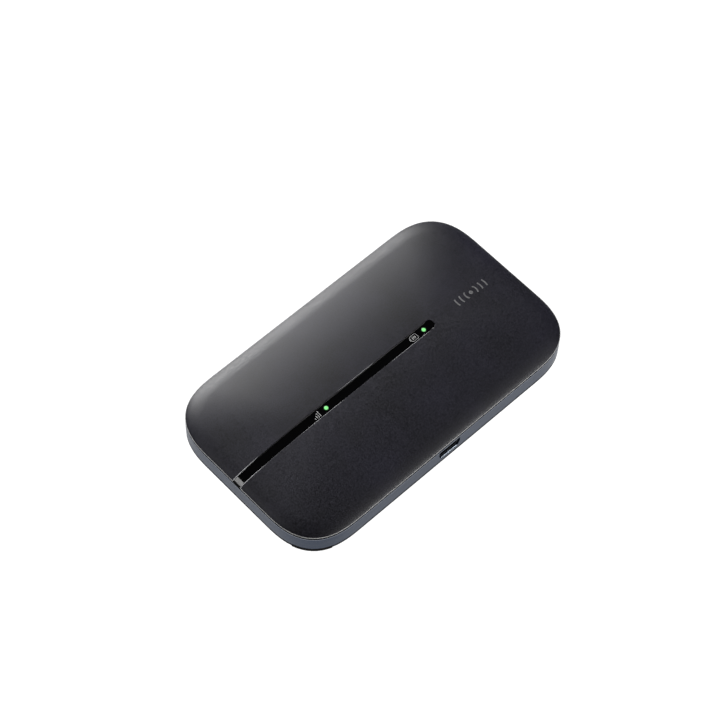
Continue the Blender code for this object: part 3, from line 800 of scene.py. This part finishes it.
def make_button(paint):
    """The key cap with rounded edges, and the leg that reaches down to the switch."""
    edge, nose = BUTTON_EDGE, BUTTON_NOSE
    back_top, nose_top = crown_at(BUTTON_BACK) - BUTTON_DROP, crown_at(nose) - BUTTON_DROP
    profile = [(BUTTON_BACK, back_top - edge)]
    profile.append((BUTTON_BACK - edge * 0.3, back_top - edge * 0.3))
    profile += [(BUTTON_BACK - edge, back_top), (nose, nose_top)]
    reach = nose - BUTTON_FRONT
    for step in range(1, 5):
        angle = step / 4 * math.pi / 2
        x = nose - reach * math.sin(angle)
        profile.append((x, nose_top - reach * 0.7 * (1 - math.cos(angle))))
    sections = []
    for x, top in profile:
        half = BUTTON_HALF
        sections.append(
            [
                (x, -half, BUTTON_BOTTOM),
                (x, half, BUTTON_BOTTOM),
                (x, half, top - edge),
                (x, half - edge * 0.3, top - edge * 0.3),
                (x, half - edge, top),
                (x, edge - half, top),
                (x, edge * 0.3 - half, top - edge * 0.3),
                (x, -half, top - edge),
            ]
        )
    cap = loft("power_key_cap", sections)
    shelf = block("shelf", (-48.6, -1.3, 10.56), (-47.6, 1.3, 10.84))
    leg = block("leg", (-48.1, -1.2, 8.9), (-47.56, 1.2, 10.8))
    shape(cap, [shelf, leg], "UNION")
    weigh_normals(cap)
    place(cap, "power_key", "button_black", paint["button_black"], "power_button")


# Pale strips along the groove's edges, painted highlights where light catches the edges: name,
# side in Y, ends in X, width at each end
HIGHLIGHT_RAILS = (
    ("near_key_highlight", -1, (-49.8, -40.5), (0.21, 0.06)),
    ("far_key_highlight", 1, (-49.8, -40.5), (0.21, 0.06)),
    ("near_signal_highlight", -1, (-28.5, -13.0), (0.06, 0.06)),
    ("far_middle_highlight", 1, (-12.5, 1.0), (0.07, 0.07)),
    ("near_battery_highlight", -1, (4.5, 18.8), (0.06, 0.09)),
)
RAIL_OUTER = 1.56
RAIL_FADE = 2.0
RAIL_STEPS = 40
RAIL_DEPTH = 0.30
RAIL_PROUD = 0.012


def make_highlight_rails(paint):
    for name, side, (start, end), (first, last) in HIGHLIGHT_RAILS:
        sections = []
        for step in range(RAIL_STEPS + 1):
            x = start + (end - start) * step / RAIL_STEPS
            fade = smooth_step(end - x, -0.1, RAIL_FADE)
            if start > STRIP_START:
                fade *= smooth_step(x - start, -0.1, RAIL_FADE)
            width = (first + (last - first) * step / RAIL_STEPS) * fade + 0.01
            low, high = crown_at(x) - RAIL_DEPTH, crown_at(x) + RAIL_PROUD
            inner = RAIL_OUTER - width
            plan = [(inner, low), (RAIL_OUTER, low), (RAIL_OUTER, high)]
            plan += [(inner + width * 0.2, high), (inner, high - width * 0.2)]
            sections.append([(x, side * y, z) for y, z in plan])
        # Each strip is a painted highlight along one edge of the groove.
        place(loft(name, sections), "housing", "piano_black", paint["highlight_grey"])


# ------------------------------------------------------------------ side band


def port_section(margin, y, radius=0.45, steps=4):
    """The receptacle's outline with rounded corners, wide at the top and narrow at the bottom."""
    low, high = PORT_Z[0] - margin, PORT_Z[1] + margin
    narrow, wide = PORT_HALF[0] + margin, PORT_HALF[1] + margin
    middle = low + (PORT_Z[1] - PORT_Z[0]) / 2
    corners = [(-narrow, low), (narrow, low), (wide, middle)]
    corners += [(wide, high), (-wide, high), (-wide, middle)]
    ring = []
    for i, corner in enumerate(corners):
        here = Vector(corner)
        before = (Vector(corners[i - 1]) - here).normalized()
        after = (Vector(corners[(i + 1) % len(corners)]) - here).normalized()
        for step in range(steps + 1):
            share = step / steps
            point = here + before * radius * (1 - share) ** 2 + after * radius * share**2
            ring.append((point.x, y, point.y))
    return ring


def port_prism(name, margin, front, back):
    return loft(name, [port_section(margin, front), port_section(margin, back)])


def window(name, node, gap, low, high):
    """A cutter round a CAD node, grown sideways by gap."""
    (x0, y0, _), (x1, y1, _) = (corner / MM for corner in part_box(node))
    return block(name, (x0 - gap, y0 - gap, low), (x1 + gap, y1 + gap, high))


def make_band(paint):
    fillet = []
    for step in range(5):
        angle = step / 4 * math.pi / 2
        fillet.append((FRAME_ROUND * (1 - math.sin(angle)), FRAME_ROUND * (1 - math.cos(angle))))
    rings = [outline(FRAME_WALL, FLOOR_Z[0]), outline(FRAME_WALL, FRAME_BOTTOM)]
    rings += [outline(inset, FRAME_BOTTOM + rise) for inset, rise in fillet]
    rings += [outline(inset, FRAME_TOP - rise) for inset, rise in reversed(fillet)]
    rings += [outline(FRAME_WALL, FRAME_TOP), outline(FRAME_WALL, FLOOR_Z[1])]
    band = loft("side_band", rings)
    low, high = (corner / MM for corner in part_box("battery_pack"))
    gap, rib, rib_low, rib_high = 0.5, 0.9, 3.2, FLOOR_Z[0] + 0.5
    bay = block(
        "bay_rib",
        (low.x - gap - rib, low.y - gap - rib, rib_low),
        (high.x + gap + rib, high.y + gap + rib, rib_high),
    )
    inside = block(
        "bay_inside", (low.x - gap, low.y - gap, 0.0), (high.x + gap, high.y + gap, FRAME_TOP)
    )
    terminal_low, terminal_high = (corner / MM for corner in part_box("terminal_block"))
    mouth = block(
        "bay_mouth",
        (high.x + gap - 1, terminal_low.y - gap, terminal_low.z - 2),
        (high.x + gap + 2, terminal_high.y + gap, terminal_high.z),
    )
    shape(bay, [inside, mouth], "DIFFERENCE")
    shape(band, [bay], "UNION")
    below_floor, above_floor = FLOOR_Z[0] - 1, FLOOR_Z[1] + 1
    cutters = [
        port_prism("port_opening", PORT_CLEARANCE, -WIDTH, PORT_POCKET_BACK),
        block(
            "port_notch",
            (-PORT_POCKET_HALF, FRAME_WALL - WIDTH / 2, below_floor),
            (PORT_POCKET_HALF, PORT_POCKET_BACK, above_floor),
        ),
    ]
    windows = {"terminal": "terminal_block", "card": "card_cage", "reset": "reset_switch_body"}
    for name, node in windows.items():
        cutters.append(window(f"{name}_window", node, 0.4, below_floor, above_floor))
    for number, centre in enumerate(screw_places(), 1):
        hole = [(BOSS_BORE_RADIUS, below_floor), (BOSS_BORE_RADIUS, above_floor)]
        cutters.append(turned(f"floor_hole_{number}", centre, hole))
    shape(band, cutters, "DIFFERENCE")
    weigh_normals(band)
    place(band, "housing", "slate_plastic", paint["slate_plastic"], "mid_frame")


def make_shadow_gap_fills(paint):
    """Dark rings in the two parting lines, set just inside the case's outline: painted shade for
    the shadow in each gap.
    """
    inner, outer = FRAME_WALL - 0.2, 0.05
    for name, low, high in (
        ("upper_shadow_gap", FRAME_TOP - 0.04, COVER_BOTTOM + 0.03),
        ("lower_shadow_gap", BACK_RIM_TOP + 0.03, FRAME_BOTTOM + 0.04),
    ):
        corners = ((inner, low), (outer, low), (outer, high), (inner, high))
        rings = [outline(inset, z) for inset, z in corners]
        count = len(rings[0])
        points = [point for ring in rings for point in ring]
        faces = []
        for level in range(len(rings)):
            start, after = level * count, (level + 1) % len(rings) * count
            for i in range(count):
                j = (i + 1) % count
                faces.append((start + i, start + j, after + j, after + i))
        place(make_object(name, points, faces), "housing", "black_rubber", paint["painted_shadow_black"])


def make_port(paint):
    """The receptacle's drawn shell with a rolled lip, and the tongue inside it."""
    front, back, sheet = PORT_FRONT, PORT_BACK, PORT_SHEET
    rings = [
        port_section(-sheet, back - 0.3),
        port_section(-sheet, front + 0.2),
        port_section(-sheet * 0.7, front + 0.04),
        port_section(-sheet * 0.35, front),
        port_section(0.0, front + 0.08),
        port_section(0.0, back),
    ]
    shell = loft("port_shell", rings)
    weigh_normals(shell)
    # The shell takes the almost black finish in place of bright tinned steel: painted shade inside
    # the mouth.
    place(shell, "housing", "tinned_steel", paint["port_steel_painted_shade"], "usb_shell")
    low, half, thick = PORT_Z[0], PORT_HALF[0] - 0.1, 0.10
    roll = [(-28.70, 0.05), (-28.76, 0.06), (-28.82, 0.08), (-28.88, 0.13)]
    profile = [(y, low - fall) for y, fall in roll]
    profile += [(y, z - thick) for y, z in reversed(profile)]
    lip = loft("port_lip", [[(x, y, z) for y, z in profile] for x in (-half, half)])
    place(lip, "housing", "tinned_steel", paint["lip_steel"])
    tongue = block("port_tongue", (-1.75, -27.9, 7.45), (1.75, -24.6, 8.1))
    foot = block("tongue_foot", (-2.4, -24.9, 6.8), (2.4, -24.1, 8.65))
    shape(tongue, [foot], "UNION")
    round_edges(tongue, 0.12)
    place(tongue, "housing", "port_plastic", paint["port_plastic"], "usb_tongue")


# ------------------------------------------------------------------ back cover


def curve_profile(start, end, exponent, steps):
    """(inset, z) pairs along a rounded shoulder from start, where it is upright, to end."""
    profile = []
    for step in range(steps + 1):
        angle = step / steps * math.pi / 2
        inwards = 1 - math.cos(angle) ** (2 / exponent)
        along = math.sin(angle) ** (2 / exponent)
        inset = start[0] + (end[0] - start[0]) * inwards
        profile.append((inset, start[1] + (end[1] - start[1]) * along))
    return profile


def make_back_cover(paint):
    outer = curve_profile((0.0, BACK_CURVE_TOP), (BACK_INSET, 0.0), BACK_EXPONENT, 14)
    inner = curve_profile((LIP_INNER_INSET, BACK_RIM_TOP), (BACK_INNER_INSET, BACK_WALL), 1.8, 8)
    rim = [
        (LIP_INNER_INSET, BACK_LIP_TOP),
        (LIP_OUTER_INSET, BACK_LIP_TOP),
        (LIP_OUTER_INSET, BACK_RIM_TOP),
        (0.10, BACK_RIM_TOP),
        (0.03, BACK_RIM_TOP - 0.03),
        (0.0, BACK_RIM_TOP - 0.10),
    ]
    cover = loft("back_shell", [outline(inset, z) for inset, z in inner[::-1] + rim + outer])
    low, high = TAB_Z
    tabs = []
    for side in (-1, 1):
        far = side * (WIDTH / 2 - TAB_INSET)
        near = side * (WIDTH / 2 - TAB_INSET - TAB_THICKNESS)
        for x in TAB_X:
            start = (x - TAB_LENGTH / 2, min(near, far), low)
            end = (x + TAB_LENGTH / 2, max(near, far), high)
            tabs.append(block(f"tab_{side}_{x}", start, end))
        far = side * (LENGTH / 2 - TAB_INSET)
        near = side * (LENGTH / 2 - TAB_INSET - TAB_THICKNESS)
        start = (min(near, far), -TAB_LENGTH / 2, low)
        end = (max(near, far), TAB_LENGTH / 2, high)
        tabs.append(block(f"tab_{side}_end", start, end))
    shape(cover, tabs, "UNION")
    shape(cover, [make_nail_notch()], "DIFFERENCE")
    weigh_normals(cover)
    place(cover, "rear_cover", "navy_plastic", paint["navy_plastic"], "back_cover")


def make_nail_notch():
    """A low slot in the rim at the -X -Y corner, turned to face it."""
    reach = CORNER_RADIUS / 2 ** (1 / CORNER_EXPONENT)
    corner = (-LENGTH / 2 + CORNER_RADIUS - reach, -WIDTH / 2 + CORNER_RADIUS - reach)
    (inner, outer), narrow = NOTCH_REACH, NOTCH_HALF - NOTCH_TAPER
    diagonal = math.sqrt(0.5)
    plan = []
    sides = ((inner, -narrow), (outer, -NOTCH_HALF), (outer, NOTCH_HALF), (inner, narrow))
    for out, side in sides:
        plan.append((corner[0] + (side - out) * diagonal, corner[1] - (side + out) * diagonal))
    levels = (BACK_RIM_TOP - NOTCH_HEIGHT, BACK_RIM_TOP + 1)
    rings = [[(x, y, z) for x, y in plan] for z in levels]
    return loft("nail_notch", rings)


def make_notch_shadow(paint):
    """The dark strip behind the nail notch, under the side band at the -X -Y corner: painted shade
    for the shadow in the notch.
    """
    low, high = BACK_RIM_TOP - 0.75, FRAME_BOTTOM + 0.3
    corner_start = 2 * (CORNER_STEPS + 1)
    first, last = corner_start + 7, corner_start + 15
    sides = []
    for inset in (-0.01, 1.2):
        for z in (low, high):
            sides.append(outline(inset, z)[first : last + 1])
    low_out, high_out, low_in, high_in = sides
    rings = [list(ring) for ring in zip(low_out, high_out, high_in, low_in)]
    notch_shade = loft("notch_shadow", rings, smooth=False)
    place(notch_shade, "housing", "black_rubber", paint["painted_shadow_black"])


# ------------------------------------------------------- what the bay contains


def make_battery(paint):
    low, high = (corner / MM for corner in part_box("battery_pack"))
    case = block("battery_case", low, high)
    round_edges(case, 1.0, 4)
    place(case, "battery", "cell_foil", paint["cell_case"], "battery_pack")
    margin, end, lift = 1.6, 6.0, 0.06
    wrap_low = (low.x + margin, low.y + margin, low.z - lift)
    wrap_high = (high.x - end, high.y - margin, low.z + lift)
    wrap = block("battery_label", wrap_low, wrap_high)
    round_edges(wrap, 0.04, 2)
    place(wrap, "battery", "cell_foil", paint["cell_foil"])


def make_screws(paint):
    """Machine screws with a cross recess and rolled thread, driven from the battery bay."""
    head_low, head_high, tip, radius, head = 5.1, 5.95, 10.6, 0.7, 1.4
    pitch, root = 0.35, 0.60
    profile = [(0.9 * head, head_low), (head, head_low + 0.15)]
    profile += [(head, head_high), (radius, head_high)]
    turns = int((tip - 0.3 - head_high) / pitch)
    for turn in range(turns):
        z = head_high + 0.1 + turn * pitch
        profile += [(root, z + pitch * 0.5), (radius, z + pitch * 0.95)]
    profile.append((0.45, tip))
    for number, centre in enumerate(screw_places(), 1):
        screw = turned(f"screw_{number}_turned", centre, profile, sides=20)
        x, y = centre
        long, thin, low, high = 0.8, 0.17, head_low - 0.2, head_low + 0.5
        slots = []
        for letter, reach_x, reach_y in (("a", long, thin), ("b", thin, long)):
            start, end = (x - reach_x, y - reach_y, low), (x + reach_x, y + reach_y, high)
            slots.append(block(f"slot_{letter}_{number}", start, end))
        shape(screw, slots, "DIFFERENCE")
        weigh_normals(screw)
        place(screw, "housing", "screw_zinc", paint["screw_zinc"], f"screw_{number}")


def paint_kept_nodes(paint):
    """CAD nodes that keep their shape get the finish of their material slot."""
    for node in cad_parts.values():
        if not node.hide_render:
            for index, material in enumerate(node.data.materials):
                node.data.materials[index] = paint[material.name.split(".")[0]]


# ----------------------------------------------------------------------- stage

FLOOR_HEIGHT = -31.0
FLOOR_HALF = 3000.0
FLOOR_GREY = 0.2
FLOOR_GLOW = 0.97


def make_floor():
    """A white floor, low enough for the back cover to stay above it when it is slid off."""
    signs = ((-1, -1), (1, -1), (1, 1), (-1, 1))
    corners = [(x * FLOOR_HALF, y * FLOOR_HALF, FLOOR_HEIGHT) for x, y in signs]
    floor = make_object("floor", corners, [(0, 1, 2, 3)])
    material = bpy.data.materials.new("floor_white")
    material.use_nodes = True
    tree = material.node_tree
    shader = tree.nodes["Principled BSDF"]
    shader.inputs["Base Color"].default_value = (FLOOR_GREY, FLOOR_GREY, FLOOR_GREY, 1.0)
    shader.inputs["Roughness"].default_value = 0.9
    shader.inputs["Emission Color"].default_value = (1.0, 1.0, 1.0, 1.0)
    shader.inputs["Emission Strength"].default_value = FLOOR_GLOW
    # The floor is clear from underneath, so that the underside can be looked at
    side = tree.nodes.new("ShaderNodeNewGeometry")
    clear = tree.nodes.new("ShaderNodeBsdfTransparent")
    mix = tree.nodes.new("ShaderNodeMixShader")
    tree.links.new(side.outputs["Backfacing"], mix.inputs["Fac"])
    tree.links.new(shader.outputs["BSDF"], mix.inputs[1])
    tree.links.new(clear.outputs["BSDF"], mix.inputs[2])
    tree.links.new(mix.outputs["Shader"], tree.nodes["Material Output"].inputs["Surface"])
    floor.data.materials.append(material)


def make_camera():
    data = bpy.data.cameras.new("camera")
    data.sensor_width = 36.0
    data.lens = 112.902
    data.clip_start = 0.01
    camera = bpy.data.objects.new("camera", data)
    camera.location = (-0.22153, -0.21347, 0.53489)
    camera.rotation_euler = [math.radians(angle) for angle in (30.7106, -1.2297, -43.2027)]
    bpy.context.scene.collection.objects.link(camera)
    bpy.context.scene.camera = camera


def make_softbox(name, azimuth, elevation, size, radiance, distance=0.8):
    """A soft light that faces the object from a bearing round it, in degrees and metres."""
    data = bpy.data.lights.new(name, "AREA")
    data.shape = "RECTANGLE"
    data.size, data.size_y = size
    data.energy = math.pi * size[0] * size[1] * radiance
    light = bpy.data.objects.new(name, data)
    turn, lift = math.radians(azimuth), math.radians(elevation)
    level = math.cos(lift)
    away = Vector((math.cos(turn) * level, math.sin(turn) * level, math.sin(lift)))
    light.location = away * distance
    light.rotation_euler = away.to_track_quat("Z", "Y").to_euler()
    bpy.context.scene.collection.objects.link(light)


SKY_DARK = 0.02
SKY_FADE = (-0.25, 0.0)


def make_lights():
    """Soft lights, and a world that is white to the camera and from below, but dark overhead."""
    world = bpy.data.worlds.new("studio")
    world.use_nodes = True
    tree = world.node_tree
    coordinates = tree.nodes.new("ShaderNodeTexCoord")
    split = tree.nodes.new("ShaderNodeSeparateXYZ")
    tree.links.new(coordinates.outputs["Generated"], split.inputs["Vector"])
    glow = link_range(tree, split.outputs["Z"], 1.0, SKY_DARK, *SKY_FADE)
    backdrop = tree.nodes.new("ShaderNodeLightPath")
    brightest = link_math(tree, "MAXIMUM", glow, backdrop.outputs["Is Camera Ray"])
    tree.links.new(brightest, tree.nodes["Background"].inputs["Strength"])
    tree.nodes["Background"].inputs["Color"].default_value = (1.0, 1.0, 1.0, 1.0)
    bpy.context.scene.world = world
    make_softbox("key_high", 71, 34, (0.44, 0.35), 14.3, 0.95)
    make_softbox("key_low", 75, 13, (0.34, 0.30), 5.8)
    make_softbox("fill_right", -30, 57, (0.34, 0.30), 0.85)
    make_softbox("fill_left", -90, 57, (0.34, 0.30), 0.5)
    make_softbox("near_rim", -58, 43, (0.30, 0.20), 7.0)
    make_softbox("side_rim", -67, 20, (0.40, 0.25), 1.6)
    make_softbox("end_rim", 152, 38, (0.20, 0.20), 1.2)
    make_softbox("button_light", 142, 56, (0.09, 0.09), 8.0, 0.83)


def main():
    bpy.context.scene.view_settings.view_transform = "Standard"
    paint = make_materials()
    make_camera()
    make_top_cover(paint)
    make_strip(paint)
    make_lenses(paint)
    make_marks(paint)
    make_button(paint)
    make_highlight_rails(paint)
    make_band(paint)
    make_shadow_gap_fills(paint)
    make_notch_shadow(paint)
    make_port(paint)
    make_back_cover(paint)
    make_battery(paint)
    make_screws(paint)
    paint_kept_nodes(paint)
    make_floor()
    make_lights()


main()
